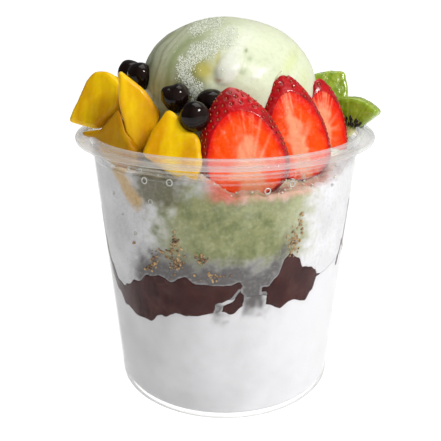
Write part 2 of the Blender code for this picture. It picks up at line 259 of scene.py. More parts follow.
def tinted(name, finish_sockets, mottle, fine, relief, relief_size):
    """A finish whose broad colour is worked out in the mesh, with mottling and relief on top."""
    finish = Finish(name, **finish_sockets)
    colour = finish.attribute("tint").outputs["Color"]
    flecks = finish.noise(fine, 4.0)
    dark = finish.ramp(flecks, 0.36, 0.50, mottle, 0.0)
    light = finish.ramp(flecks, 0.52, 0.68, 0.0, mottle)
    shaded = finish.blend(dark, colour, finish.blend(1.0, colour, (0.45, 0.45, 0.45), "MULTIPLY"))
    lit = finish.blend(light, shaded, finish.blend(0.35, colour, (1.0, 1.0, 1.0)))
    return finish.set(Base_Color=lit, Normal=finish.bump(finish.noise(relief_size, 5.0), relief, 0.8))


# --- meshes ---


def added(name, data):
    made = bpy.data.objects.new(name, data)
    bpy.context.scene.collection.objects.link(made)
    return made


def applied(piece):
    """A new mesh of a piece with its modifiers carried out."""
    graph = bpy.context.evaluated_depsgraph_get()
    return bpy.data.meshes.new_from_object(piece.evaluated_get(graph))


def read_vectors(items, kind):
    """A mesh's vertex places or normals as rows of three."""
    values = np.empty(len(items) * 3)
    items.foreach_get(kind, values)
    return values.reshape(-1, 3)


def place_object(name, points, faces, finish, node=None, place=None, turn=None, tint=None):
    """Makes a smooth piece from points in millimetres and joins it to the frame."""
    mesh = bpy.data.meshes.new(name)
    mesh.from_pydata([tuple(point) for point in np.asarray(points) * MM], [], faces)
    mesh.materials.append(finish)
    mesh.shade_smooth()
    if tint is not None:
        layer = mesh.color_attributes.new("tint", "FLOAT_COLOR", "POINT")
        colours = np.ones((len(points), 4), np.float32)
        colours[:, :len(tint[0])] = tint
        layer.data.foreach_set("color", colours.ravel())
    piece = added(name, mesh)
    if place is not None:
        piece.matrix_world = standing(place, turn)
    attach(piece, "root")
    if node:
        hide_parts(node)


def standing(place, turn):
    """The matrix of a topping: turn is (lean back, roll, face right), as in the CAD model."""
    lean, roll, face = (math.radians(angle) for angle in turn)
    spin = Euler((-lean, roll, face), "YXZ").to_matrix().to_4x4()
    return Matrix.Translation(Vector(place) * MM) @ spin


def quads(first, second, count):
    """Faces between two closed rings of points that start at these numbers."""
    steps = [(step, (step + 1) % count) for step in range(count)]
    return [(first + step, first + after, second + after, second + step) for step, after in steps]


def skin(rings):
    """Points and faces of a closed skin through rings, from the lower pole to the upper one."""
    columns = len(rings[1])
    points = [point for ring in rings for point in ring]
    faces = []
    start = 1
    for step in range(columns):
        faces.append((0, start + (step + 1) % columns, start + step))
    for row in range(len(rings) - 3):
        low = start + row * columns
        faces += quads(low, low + columns, columns)
    last = len(points) - 1
    low = last - columns
    for step in range(columns):
        faces.append((last, low + step, low + (step + 1) % columns))
    return points, faces


def inner_radius(z):
    share = (z - FOOT_CORNER) / (SHOULDER_Z - FOOT_CORNER)
    return FOOT_RADIUS + (SHOULDER_RADIUS - FOOT_RADIUS) * share - WALL


def turn_angles(columns):
    return [math.radians(-180.0 + 360.0 * step / columns) for step in range(columns)]


def at(angle, radius, z):
    """A point round the cup's axis."""
    return (radius * math.sin(angle), -radius * math.cos(angle), z)


def fillet(corners, steps=5):
    """Rounds each corner (r, z, radius) of a profile."""
    made = [corners[0][:2]]
    for before, here, after in zip(corners, corners[1:], corners[2:]):
        corner = Vector(here[:2])
        to_before = Vector(before[:2]) - corner
        to_after = Vector(after[:2]) - corner
        half = to_before.angle(to_after) / 2.0
        reach = min(here[2] / max(math.tan(half), 0.01), 0.49 * to_before.length, 0.49 * to_after.length)
        start = corner + to_before.normalized() * reach
        end = corner + to_after.normalized() * reach
        for step in range(steps + 1):
            share = step / steps
            point = start * (1 - share) ** 2 + corner * 2 * share * (1 - share) + end * share**2
            made.append((point.x, point.y))
    made.append(corners[-1][:2])
    return made


def make_cup():
    lip_low = 103.7
    profile = fillet([
        (0.0, RECESS, 0.0),
        (RECESS_RADIUS, RECESS, 0.5),
        (RECESS_RADIUS + RECESS, 0.0, 0.5),
        (FOOT_RADIUS - 0.1, 0.0, FOOT_CORNER),
        (SHOULDER_RADIUS, SHOULDER_Z, 1.5),
        (COLLAR_RADIUS, COLLAR_Z - 1.4, 0.8),
        (COLLAR_RADIUS, lip_low, 0.5),
        (COLLAR_RADIUS + 2.6, lip_low - 0.1, 0.5),
        (LIP_RADIUS - 1.2, lip_low - 0.35, 0.3),
        (LIP_RADIUS - 0.2, lip_low - 0.5, 0.7),
        (LIP_RADIUS - 0.1, lip_low + 1.2, 0.8),
        (LIP_RADIUS - 1.6, lip_low + 1.1, 0.5),
        (COLLAR_RADIUS + 2.8, lip_low + 1.5, 0.4),
        (COLLAR_RADIUS + 1.0, lip_low + 2.1, 0.4),
        (COLLAR_RADIUS + 0.3, CUP_HEIGHT, 0.5),
        (COLLAR_RADIUS - WALL, CUP_HEIGHT, 0.5),
        (COLLAR_RADIUS - WALL, COLLAR_Z - 0.7, 0.7),
        (SHOULDER_RADIUS - WALL, SHOULDER_Z, 1.0),
        (inner_radius(FLOOR_Z), FLOOR_Z, 2.0),
        (0.0, FLOOR_Z, 0.0),
    ])
    angles = turn_angles(CUP_STEPS)
    rings = [[(0.0, 0.0, profile[0][1])]]
    rings += [[at(angle, r, z) for angle in angles] for r, z in profile[1:-1]]
    rings.append([(0.0, 0.0, profile[-1][1])])
    points, faces = skin(rings)
    place_object("cup_clear", points, faces, clear_plastic(), "cup")


# --- layers ---


def along(edge, angle):
    """Height of an edge given by (angle, height) stations, with rounded rises between them."""
    for (start, low), (end, high) in zip(edge, edge[1:]):
        if angle <= end:
            return low + (high - low) * smooth(start, end, angle)
    return edge[-1][1]


def from_line(angle, z, line):
    """Distance at the wall from a line between two stations, less its half width."""
    arc = math.radians(inner_radius(z))
    start = Vector((line[0] * arc, line[1]))
    reach = Vector((line[2] * arc, line[3])) - start
    away = Vector((angle * arc, z)) - start
    share = clamp(away.dot(reach) / max(reach.length_squared, 1e-9))
    return (away - reach * share).length - line[4]


def paste_depth(angle, z):
    """How far inside the paste's outline a point at the wall lies; below 0 is outside."""
    point = at(math.radians(angle), 48.0, z)
    wander = 0.9 * rough(point, 4.5, 2.0) + 0.35 * rough(point, 1.7, 5.0)
    depth = min(z - along(PASTE_LOWER, angle), along(PASTE_UPPER, angle) - z) + wander
    for line in PASTE_GAPS:
        if abs(angle - line[0]) < 14.0:
            depth = min(depth, from_line(angle, z, line) + 0.5 * wander)
    for line in PASTE_SMEARS:
        if abs(angle - line[0]) < 14.0:
            depth = max(depth, -from_line(angle, z, line) + 0.5 * wander)
    return depth


def band_middle(angle):
    return 0.5 * (along(PASTE_LOWER, angle) + along(PASTE_UPPER, angle))


def ice_edge(angle):
    """Height of the green tea ice at the wall; it sinks in front of the fruit that faces the camera."""
    front = 3.0 * window(angle, -58, 90, 8) + 5.5 * window(angle, -2, 58, 7)
    return 101.0 - front + 0.9 * rough(at(math.radians(angle), 50.0, 0.0), 9.0, 8.0)


def window(value, low, high, soft):
    return smooth(low - soft, low + soft, value) * (1.0 - smooth(high - soft, high + soft, value))


SNOW = linear(226, 225, 227)
SNOW_GREY_AND_SHADE = linear(192, 191, 192)
GREEN = linear(146, 149, 102)
GREEN_DEEP = linear(118, 125, 80)
GREEN_DARK = linear(106, 102, 76)
GREEN_PALE = linear(190, 192, 158)
ICY = linear(88, 84, 83)
BERRY_STAIN = linear(214, 92, 74)
BERRY_PALE = linear(224, 172, 156)
MANGO_STAIN = linear(196, 160, 96)
HEAP_DRY = linear(226, 226, 208)
HEAP_WET = linear(176, 184, 140)


def turned_left(angle):
    """1 on the cup's left, which lies in shade, 0 on its right, without a step at the back."""
    if abs(angle) < 90.0:
        turn = clamp(1.6 * angle, -90.0, 90.0)
    else:
        turn = math.copysign(180.0 - abs(angle), angle)
    return 0.5 - 0.5 * math.sin(math.radians(turn))


def upper_tint(angle, z):
    """Colour of the green tea ice where it shows at the wall."""
    point = at(math.radians(angle), 48.0, z)
    broad = rough(point, 12.0, 1.0, 2)
    small = rough(point, 3.5, 4.0, 3)
    # Greyer on the left: painted shade, plus random grey tone
    colour = mix(SNOW, SNOW_GREY_AND_SHADE, clamp(0.5 * turned_left(angle) + 0.2 + 0.5 * broad))
    front = window(angle + 7 * small, -27, 35, 9) * window(z + 4 * small, 67, 95, 5)
    back = window(abs(angle) + 9 * small, 118, 170, 16) * window(z + 4 * small, 66, 92, 6)
    green = clamp(front + 0.85 * back)
    tone = mix(GREEN, GREEN_DEEP, clamp(0.4 + 1.1 * small))
    tone = mix(tone, GREEN_PALE, clamp(0.9 * smooth(16, 40, angle) + 0.5 * broad))
    colour = mix(colour, tone, green)
    shadow = window(angle + 3 * small, -37, -17, 4) * window(z + 2 * small, 88, 103, 3)
    colour = mix(colour, GREEN_DARK, 0.9 * shadow)
    above = z - along(PASTE_UPPER, angle)
    icy = window(angle + 4 * small, -44, 26, 6) * (1.0 - smooth(4.0, 14.0, above + 4 * small))
    colour = mix(colour, ICY, 0.95 * icy)
    haze = window(angle + 3 * small, -6, 36, 4) * smooth(89.5, 93.5, z + 1.5 * small)
    berry = mix(BERRY_STAIN, BERRY_PALE, clamp(smooth(3, 9, angle) + 0.5 * small))
    colour = mix(colour, berry, 0.85 * haze)
    drip = 1.0 - smooth(1.0, 4.5, from_line(angle, z, (-52, 103, -38, 88, 0.4)) + small)
    colour = mix(colour, MANGO_STAIN, 0.8 * drip)
    # A thin lighter line round the paste at the wall: painted reflection of the air meniscus there
    rim_of_paste = abs(paste_depth(angle, z) + 0.25)
    return mix(colour, SNOW, 0.25 * (1.0 - smooth(0.1, 0.45, rim_of_paste)))


def lower_tint(angle, z):
    """Colour of the white ice where it shows at the wall."""
    point = at(math.radians(angle), 48.0, z)
    broad = rough(point, 16.0, 11.0, 3)
    # Greyer on the left: painted shade, plus random grey tone
    colour = mix(SNOW, SNOW_GREY_AND_SHADE, clamp(0.7 * turned_left(angle) + 0.3 * broad - 0.1))
    shift = angle + 2.5 * rough(point, 3.0, 9.0, 2)
    gap = max(window(shift, -5, -1, 2.5), window(shift, 8, 17.5, 3.0))
    near = 1.0 - smooth(-1.0, 7.0, along(PASTE_LOWER, angle) - z + 2.5 * rough(point, 3.0, 4.0, 2))
    return mix(colour, ICY, 0.96 * gap * near)


def wall_ring(angles, height, inset=-INTO_WALL):
    """A ring at the wall, or inset from it, at a height that depends on the angle."""
    heights = [height(math.degrees(angle)) for angle in angles]
    return [at(angle, inner_radius(z) - inset, z) for angle, z in zip(angles, heights)]


def inner_rings(angles, level, stations):
    """Rings from the band's middle at the wall to a level inside: (inset, how far to the level)."""
    return [wall_ring(angles, lambda angle, share=share: between(band_middle(angle), level, share), inset)
            for inset, share in stations]


def make_white_ice(finish):
    angles = turn_angles(COLUMNS)
    low = FLOOR_Z - INTO_WALL
    wall_low = low + FLOOR_CORNER
    rings = [[(0.0, 0.0, low)]]
    for share in (0.3, 0.6, 0.9):
        rings.append([at(angle, inner_radius(low) * share, low) for angle in angles])
    middle = inner_radius(FLOOR_Z) + INTO_WALL - FLOOR_CORNER
    for step in range(5):
        bend = math.radians(-90.0 + 22.5 * step)
        z = wall_low + FLOOR_CORNER * math.sin(bend)
        rings.append([at(angle, middle + FLOOR_CORNER * math.cos(bend), z) for angle in angles])
    for row in range(1, WHITE_ROWS + 1):
        rings.append(wall_ring(angles, lambda angle: between(wall_low, band_middle(angle), row / WHITE_ROWS)))
    rings += inner_rings(angles, WHITE_LEVEL, INNER_STATIONS)
    rings.append([(0.0, 0.0, WHITE_LEVEL)])
    points, faces = skin(rings)
    tint = [lower_tint(bearing(x, y), z) for x, y, z in points]
    place_object("white_shaved_ice", points, faces, finish, "shaved_ice", tint=tint)


def paste_lid(angles, ring, level, girth_level, shares):
    """Rings of the paste's underside or top, from its edge at the wall to a level inside."""
    radius = inner_radius(girth_level)
    return [[at(angle, radius * share, between(level, edge[2], smooth(0.7, 1.0, share)))
             for angle, edge in zip(angles, ring)] for share in shares]


def make_paste(finish):
    """The bean paste: where it touches the wall it stands proud of the ice's skin."""
    angles = turn_angles(COLUMNS)
    wall_rings = [[] for _ in range(PASTE_ROWS + 1)]
    for angle in angles:
        degrees = math.degrees(angle)
        low = min(along(PASTE_LOWER, degrees) - 2.5, 55.0)
        high = along(PASTE_UPPER, degrees) + 2.5
        if SMEAR_SIDE[0] < degrees < SMEAR_SIDE[1]:
            high = SMEAR_TOP
        for row, ring in enumerate(wall_rings):
            z = between(low, high, row / PASTE_ROWS)
            depth = paste_depth(degrees, z)
            proud = 0.2 * clamp(depth / 0.3) if depth > 0 else max(-2.4, 4.0 * depth)
            ring.append(at(angle, inner_radius(z) + INTO_WALL + proud, z))
    rings = [[(0.0, 0.0, PASTE_LOW_LEVEL)]]
    rings += paste_lid(angles, wall_rings[0], PASTE_LOW_LEVEL, 50.0, (0.4, 0.8, 0.93))
    rings += wall_rings
    rings += paste_lid(angles, wall_rings[-1], GREEN_LEVEL, GREEN_LEVEL, (0.93, 0.8, 0.4))
    rings.append([(0.0, 0.0, GREEN_LEVEL)])
    points, faces = skin(rings)
    place_object("red_bean_paste", points, faces, finish, "red_bean")


def heap_height(x, y, share):
    """The heap of ice between the toppings."""
    angle = bearing(x, y)
    crown = 9.0 * (1.0 - share**2)
    snow = 1.5 * rough((x, y, 0), 11.0, 8.0) + 1.3 * rough((x, y, 0), 4.0, 3.0, 4)
    near = 0.62 - 0.16 * window(angle, 10, 62, 10)
    fall = smooth(near, near + 0.18, share)
    edge = between(102.0, ice_edge(angle), fall)
    crown *= 1.0 - fall * window(angle, -58, 90, 8)
    return edge + crown + snow * (1.0 - 0.6 * smooth(0.9, 1.0, share))


def heap_top(angle):
    """Height of the heap's edge at the wall."""
    return heap_height(*at(math.radians(angle), HEAP_RADIUS, 0.0)[:2], 1.0) - 0.8


def make_green_ice(finish):
    angles = turn_angles(COLUMNS)
    rings = [[(0.0, 0.0, GREEN_LEVEL)]] + inner_rings(angles, GREEN_LEVEL, reversed(INNER_STATIONS))
    for row in range(GREEN_ROWS + 1):
        rings.append(wall_ring(angles, lambda angle: between(band_middle(angle), heap_top(angle),
                                                             row / GREEN_ROWS)))
    for step in range(HEAP_STEPS):
        share = 1.0 - (step + 0.4) / HEAP_STEPS
        flat = [at(angle, inner_radius(98.0) * share, 0.0)[:2] for angle in angles]
        rings.append([(x, y, heap_height(x, y, share)) for x, y in flat])
    rings.append([(0.0, 0.0, heap_height(0.0, 0.0, 0.0))])
    points, faces = skin(rings)
    tint = [upper_tint(bearing(x, y), z) if math.hypot(x, y) > inner_radius(z) - 1.0 else
            heap_tint(x, y) for x, y, z in points]
    place_object("green_tea_shaved_ice", points, faces, finish, "green_tea_ice",
                 tint=tint)


def heap_tint(x, y):
    wet = clamp(0.5 + 1.2 * rough((x, y, 0), 14.0, 6.0, 3))
    colour = mix(HEAP_DRY, HEAP_WET, wet)
    angle = bearing(x, y)
    out = math.hypot(x, y)
    stained = window(angle, -12, 62, 8) * smooth(36.0, 44.0, out)
    colour = mix(colour, BERRY_PALE, 0.75 * stained)
    return mix(colour, upper_tint(angle, ice_edge(angle) - 1.0), smooth(44.0, 50.0, out))


# --- ice cream ---


def ball_grid(columns, rows, shape):
    """A closed ball through shape(direction), with its poles at the bottom and top."""
    rings = [[shape(Vector((0.0, 0.0, -1.0)))]]
    for row in range(1, rows):
        lift = math.pi * (row / rows - 0.5)
        ring = []
        for angle in turn_angles(columns):
            x, y, _ = at(angle, math.cos(lift), 0.0)
            ring.append(shape(Vector((x, y, math.sin(lift)))))
        rings.append(ring)
    rings.append([shape(Vector((0.0, 0.0, 1.0)))])
    return skin(rings)


# Soft marks on the scoop's front, as (x, z) from its middle
FOLD_PLACE = (-1.3, 10.6)
FOLD_HALVES = (4.5, 6.4)
FROST_BANDS = (((-7.0, 24.6), (-10.5, 23.6), (-14.5, 21.6)),
               ((-2.0, 20.8), (-8.2, 16.5), (-12.9, 14.0), (-16.6, 10.3), (-17.2, 6.9), (-15.1, 3.8),
                (-11.7, 0.8), (-10.5, -3.0)))


def fold_share(x, z):
    """The soft white fold on the scoop's front: 1 in its middle, 0 outside."""
    lean = x - FOLD_PLACE[0] - 0.35 * (z - FOLD_PLACE[1])
    across = lean / FOLD_HALVES[0]
    up = (z - FOLD_PLACE[1]) / FOLD_HALVES[1]
    return math.sqrt(max(0.0, 1.0 - across * across - up * up)) * (1.0 - 0.8 * smooth(-0.2, 0.9, up))


def frost_share(x, z):
    """How much frost lies on the scoop's front, 0 to 1."""
    nearest = 99.0
    for band in FROST_BANDS:
        for start, end in zip(band, band[1:]):
            reach = Vector(end) - Vector(start)
            away = Vector((x, z)) - Vector(start)
            share = clamp(away.dot(reach) / reach.length_squared)
            nearest = min(nearest, (away - reach * share).length)
    return 1.0 - smooth(1.0, 3.6, nearest + 1.2 * rough((x, 0.0, z), 2.5, 6.0, 2))


def scoop_shape(direction):
    base = Vector([half * value for half, value in zip(SCOOP_HALVES, direction)])
    lumps = 0.5 * rough(direction, 0.6, 0.0) + 0.12 * rough(direction, 0.16, 3.0, 2)
    front = smooth(0.1, 0.5, -direction.y)
    fold = 1.6 * fold_share(base.x, base.z) * front
    pit = -0.9 * math.exp(-((base.x + 6.3) ** 2 + (base.z - 7.0) ** 2) / 5.0) * front
    grain = 0.16 * noise.noise(base / 0.5) * frost_share(base.x, base.z) * front
    return tuple(base + direction * (lumps + fold + pit + grain))


CREAM = linear(215, 221, 191)
CREAM_WHITE = linear(222, 223, 208)
CREAM_GREEN = linear(158, 172, 122)
CREAM_LEAF = linear(202, 212, 132)
CREAM_SHADE = linear(112, 118, 64)
CREAM_MID = linear(212, 217, 188)
CREAM_OLIVE = linear(196, 186, 98)
CREAM_GREY = linear(118, 116, 90)
CREAM_FROST = linear(182, 190, 160)
CREAM_DOT = linear(112, 134, 66)
CREAM_FOLD_SHADOW = linear(176, 142, 96)


# Soft marks: (colour, how much, middle, half widths, lean)
MARKS_UNDER_FOLD = (
    (CREAM_OLIVE, 1.1, (-10.0, 8.6), (3.6, 3.0), 0.0),
    (CREAM_OLIVE, 0.8, (-5.6, 13.0), (0.8, 3.2), 0.0),
    (CREAM_LEAF, 0.5, (21.0, 13.0), (2.5, 5.0), 0.5),
    (CREAM_LEAF, 0.4, (27.0, 6.0), (2.2, 5.0), 0.0),
    (CREAM_WHITE, 0.9, (9.5, 9.0), (1.6, 2.6), 1.2),
    (CREAM_WHITE, 0.7, (0.5, 16.0), (2.6, 6.0), 0.7),
)
MARKS_OVER_FOLD = (
    # Painted shadow under the fold's lower left edge, in brown
    (CREAM_FOLD_SHADOW, 0.9, (-4.6, 5.9), (1.6, 0.6), 0.0),
    (CREAM_DOT, 0.9, (4.1, 16.2), (0.6, 0.6), 0.0),
    (CREAM_DOT, 0.5, (5.7, 13.7), (0.9, 0.9), 0.0),
    (CREAM_DOT, 0.5, (3.6, 9.3), (1.2, 1.2), 0.0),
)


def marked(colour, x, z, marks):
    """A colour with soft marks on it, each fading away round its middle."""
    for mark, share, middle, halves, lean in marks:
        up = z - middle[1]
        across = (x - lean * up - middle[0]) / halves[0]
        colour = mix(colour, mark, clamp(share * math.exp(-across**2 - (up / halves[1]) ** 2)))
    return colour


def scoop_tint(x, y, z):
    """Milky arcs that follow the scoop's outline, greener and greyer on the left, pale on the right. The
    left's darker olive is painted shade.
    """
    place = Vector((x, y, z))
    warp = 2.2 * rough(place, 17.0, 9.0, 2)
    reach = math.hypot(x, z) + warp
    angle = math.degrees(math.atan2(z, x))
    reach += 0.25 * max(0.0, y)
    left = smooth(55.0, 125.0, angle if angle > -90.0 else angle + 360.0)
    left *= 1.0 - smooth(2.0, 20.0, y)
    front = 1.0 - smooth(-3.0, 7.0, y)
    # Slightly greyer on the left: painted shade, with random tone
    colour = mix(CREAM, CREAM_MID, clamp(0.75 * left + 0.5 * rough(place, 13.0, 2.0, 2)))
    # Painted shade on the scoop's left
    colour = mix(colour, CREAM_SHADE, 0.95 * left * (1.0 - smooth(16.0, 23.0, reach)) * smooth(6.0, 14.0, -x))
    arcs = (math.exp(-(((reach - 23.5) / 1.9) ** 2)) + 0.6 * math.exp(-(((reach - 19.0) / 1.2) ** 2)))
    colour = mix(colour, CREAM_GREEN, clamp(0.85 * arcs) * smooth(70.0, 130.0, angle) * front)
    lines = smooth(0.2, 0.95, math.sin(3.1 * reach)) * smooth(25.5, 28.0, reach)
    colour = mix(colour, CREAM_GREY, 0.45 * lines * left)
    # More painted shade on the scoop's left
    colour = mix(colour, CREAM_SHADE, 0.3 * left * smooth(4.0, 16.0, -x))
    colour = mix(colour, CREAM_GREEN, (0.14 + 0.3 * left) * smooth(0.1, 0.6, rough(place, 9.0, 14.0, 3)))
    if front > 0:
        plain = colour
        colour = mix(colour, CREAM_FROST, 0.8 * frost_share(x, z))
        colour = marked(colour, x, z, MARKS_UNDER_FOLD)
        colour = mix(colour, CREAM_WHITE, clamp(1.4 * fold_share(x, z)))
        colour = mix(plain, marked(colour, x, z, MARKS_OVER_FOLD), front)
    return colour


def cut_beds(piece, nodes):
    """Cuts the places of these CAD pieces out of a mesh, so that they rest in it and not behind it."""
    for node in nodes:
        cut = piece.modifiers.new(node, "BOOLEAN")
        cut.operation = "DIFFERENCE"
        cut.solver = "EXACT"
        cut.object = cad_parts[node]
    return applied(piece)


def make_scoop():
    finish = tinted("ice_cream_look", {"Roughness": 0.34, "Specular_IOR_Level": 0.4}, 0.10, 1.6, 0.18, 2.6)
    glow_under(finish, 0.4, 2.5, (1.0, 0.95, 0.7))
    points, faces = ball_grid(240, 150, scoop_shape)
    block = bpy.data.meshes.new("block")
    block.from_pydata([tuple(point) for point in np.asarray(points) * MM], [], faces)
    block.transform(standing(SCOOP_PLACE, (0, SCOOP_TIP, 0)))
    helper = added("block", block)
    made = cut_beds(helper, ("strawberry_1", "strawberry_2", "strawberry_3", "kiwi_1"))
    bpy.data.objects.remove(helper)
    made.transform(standing(SCOOP_PLACE, (0, SCOOP_TIP, 0)).inverted())
    points = [tuple(vertex.co / MM) for vertex in made.vertices]
    faces = [tuple(polygon.vertices) for polygon in made.polygons]
    tint = [scoop_tint(*point) for point in points]
    place_object("ice_cream_ball", points, faces, finish.material, "ice_cream_scoop",
                 SCOOP_PLACE, (0, SCOOP_TIP, 0), tint)


# --- toppings ---


def copied(name, node, place, turn, soft, relief, relief_size, finish, seed, paint):
    """A topping with the CAD piece's form, its edges softened and its faces uneven."""
    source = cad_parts[node].data.copy()
    source.transform(standing(place, turn).inverted())
    source.transform(Matrix.Scale(1.0 / MM, 4))
    helper = added(name + "_source", source)
    remesh = helper.modifiers.new("remesh", "REMESH")
    remesh.mode = "VOXEL"
    remesh.voxel_size = FRUIT_VOXEL
    soften = helper.modifiers.new("soften", "SMOOTH")
    soften.factor = 0.5
    soften.iterations = soft
    made = applied(helper)
    bpy.data.objects.remove(helper)
    points = read_vectors(made.vertices, "co")
    normals = read_vectors(made.vertex_normals, "vector")
    lift = np.array([rough(point, relief_size, seed, 3) for point in points]) * relief + 0.12
    points = points + normals * lift[:, None]
    faces = [tuple(polygon.vertices) for polygon in made.polygons]
    bpy.data.meshes.remove(made)
    tint = [paint(*point) for point in points]
    place_object(name, points, faces, finish, node, place, turn, tint)


MANGO_PAINTED_SHADES = {2: 0.65}    # how much darker and browner a block is drawn: painted shade, for the block that faces away from the light


def mango_tint(seed, shade=0.0):
    deep, bright, pale = linear(224, 160, 0), linear(246, 198, 0), linear(252, 222, 20)
    painted_shade_amber = linear(158, 104, 0)

    def paint(x, y, z):
        grain = rough((x, y, z * 0.35), 5.0, seed, 3)
        colour = mix(mix(deep, bright, clamp(0.5 + 0.9 * grain)), pale, clamp(0.25 * grain + 0.12))
        # Painted shade: the block drawn darker and browner
        return mix(colour, painted_shade_amber, shade)

    return paint


def make_mango():
    finish = tinted("mango_look", {"Roughness": 0.32, "Specular_IOR_Level": 0.16, "Coat_Weight": 0.05},
                    0.05, 1.4, 0.06, 1.6)
    glow_under(finish, 0.3, 2.0, (1.0, 0.7, 0.08))
    blocks = (
        ((-47.5, -10, 117.5), (14, 0, -28)),
        ((-37.2, -29.2, 110), (10, 0, -34)),
        ((-30.2, -28.0, 115.8), (8, 0, 8)),
        ((-18, -41.5, 108), (22, 0, -6)),
        ((-42.5, 27, 114), (24, 8, -122)),
        ((-22, 44, 112), (28, -6, -158)),
    )
    for number, (place, turn) in enumerate(blocks, start=1):
        paint = mango_tint(float(number), MANGO_PAINTED_SHADES.get(number, 0.0))
        copied(f"mango_block_{number}", f"mango_{number}", place, turn, 3, 0.2, 6.0,
               finish.material, 2.7 * number, paint)


def berry_half_width(share):
    shoulder = 0.30
    if share < shoulder:
        return math.sqrt(max(0.0, 1.0 - (1.0 - share / shoulder) ** 2.4))
    past = (share - shoulder) / (1.0 - shoulder)
    return max(0.0, 1.0 - past**1.9) ** (1.0 / 1.5)


SKIN_RED = linear(192, 4, 14)
SKIN_DEEP = linear(120, 2, 8)
FLESH_EDGE = linear(224, 22, 6)
FLESH = linear(252, 78, 4)
FLESH_CORE = linear(246, 158, 118)


class Berry:
    """A strawberry cut lengthwise in front of its core; local Z runs from leaf end to tip."""

    SINK = 0.5               # the cut passes in front of the core by half the berry's half depth

    def __init__(self, length, width, depth, sink_tip, core, seed):
        self.length, self.width, self.depth = length, width, depth
        self.sink_tip, self.core, self.seed = sink_tip, core, seed
        self.seeds = self.seed_places()

    def raw(self, share, angle):
        half = berry_half_width(share)
        x = 0.5 * self.width * half * math.cos(angle)
        sink = self.SINK + self.sink_tip * share * share
        y = self.depth * (half**0.9 * math.sin(angle) + sink) / (1.0 + self.SINK)
        return Vector((x, y, self.length * share))

    def seed_places(self):
        """Seeds in staggered rows over the skin, none on the cut."""
        maker = random.Random(self.seed)
        places = []
        rows = round(self.length / 2.1)
        for row in range(1, rows):
            share = row / rows + maker.uniform(-0.008, 0.008)
            girth = math.pi * berry_half_width(share) * (0.5 * self.width + self.depth / 1.5)
            count = max(3, round(girth / 2.5))
            for step in range(count):
                angle = math.tau * (step + 0.5 * (row % 2) + maker.uniform(-0.14, 0.14)) / count
                if self.raw(share, angle).y > 0.5:
                    places.append((share, angle))
        return places

    def skin_points(self, columns=152, rows=118):
        tree = KDTree(len(self.seeds))
        for index, (share, angle) in enumerate(self.seeds):
            tree.insert(self.raw(share, angle), index)
        tree.balance()
        rings = []
        tints = []
        for row in range(rows + 1):
            share = 0.5 - 0.5 * math.cos(math.pi * row / rows)
            pole = row in (0, rows)
            ring = []
            for step in range(1 if pole else columns):
                angle = math.tau * step / columns
                raw = self.raw(share, angle)
                middle = Vector((0.0, self.depth / 3.0, raw.z))
                out = (raw - middle).normalized() if (raw - middle).length > 1e-6 else Vector((0, 0, 1))
                if raw.y > 0:
                    _, _, gap = tree.find(raw)
                    lift = 0.35 * smooth(0.4, 1.1, gap) + 0.25 * rough(raw, 5.0, self.seed)
                    point = raw + out * (lift - 0.3)
                    tints.append(self.skin_tint(raw, gap))
                else:
                    relief = 0.28 * rough(raw, 2.6, self.seed, 2) * smooth(0.0, 0.8, -raw.y)
                    point = Vector((raw.x, 0.12 - relief - 0.12 * smooth(0.0, 1.0, -raw.y), raw.z))
                    tints.append(self.flesh_tint(raw))
                point.y = max(point.y, -0.3)
                ring.append(tuple(point))
            rings.append(ring)
        return (*skin(rings), tints)

    def skin_tint(self, raw, gap):
        blotch = clamp(0.5 + rough(raw, 6.0, self.seed + 4, 2))
        colour = mix(SKIN_RED, SKIN_DEEP, 0.7 * blotch)
        # Darker round each seed, in its dimple: painted shade
        return (*mix(mix(SKIN_DEEP, colour, 0.4), colour, smooth(0.4, 1.2, gap)), 1.0)

    def flesh_tint(self, raw):
        """Pale core with fibres that run out to the skin."""
        lean, low, reach, girth = self.core
        x = raw.x - lean * (raw.z / self.length)
        away = Vector((x / (girth * self.width), (raw.z / self.length - low) / reach))
        angle = math.atan2(away.y, away.x)
        fibre = noise.noise(Vector((7.0 * math.cos(angle), 7.0 * math.sin(angle), self.seed)))
        fibre += 0.6 * noise.noise(Vector((15.0 * math.cos(angle), 15.0 * math.sin(angle), away.length)))
        blur = 0.35 * rough(raw, 4.0, self.seed + 7, 3)
        core = 1.0 - smooth(0.45, 1.15, away.length + blur)
        streak = clamp(1.6 * fibre) * (1.0 - smooth(0.9, 2.3, away.length)) * 0.6
        edge = smooth(0.0, 1.5, -raw.y + 0.5 * rough(raw, 3.0, self.seed + 2))
        colour = mix(FLESH_EDGE, FLESH, edge)
        return (*mix(colour, FLESH_CORE, clamp(0.95 * core + streak)), 0.12)

    def seed_shapes(self):
        """Each seed as a small drop that lies in its dimple, along the berry."""
        points, faces = [], []
        for share, angle in self.seeds:
            centre = self.raw(share, angle)
            along_berry = (self.raw(min(share + 0.02, 0.995), angle) - centre).normalized()
            out = (centre - Vector((0.0, self.depth / 3.0, centre.z))).normalized()
            side = along_berry.cross(out).normalized()
            out = side.cross(along_berry).normalized()
            centre -= out * 0.12
            add_drop(points, faces, centre, along_berry * 0.52, side * 0.32, out * 0.26)
        return points, faces


def add_drop(points, faces, centre, long_axis, side, out, columns=8, rows=5):
    """Adds a small pointed ellipsoid to a shared mesh."""
    rings = [[tuple(centre - long_axis)]]
    for row in range(1, rows):
        lift = math.pi * (row / rows - 0.5)
        taper = 1.0 - 0.35 * math.sin(lift)
        ring = []
        for step in range(columns):
            angle = math.tau * step / columns
            spoke = side * math.cos(angle) + out * math.sin(angle)
            ring.append(tuple(centre + long_axis * math.sin(lift) + spoke * math.cos(lift) * taper))
        rings.append(ring)
    rings.append([tuple(centre + long_axis)])
    more, sides = skin(rings)
    faces += [tuple(len(points) + corner for corner in face) for face in sides]
    points += more


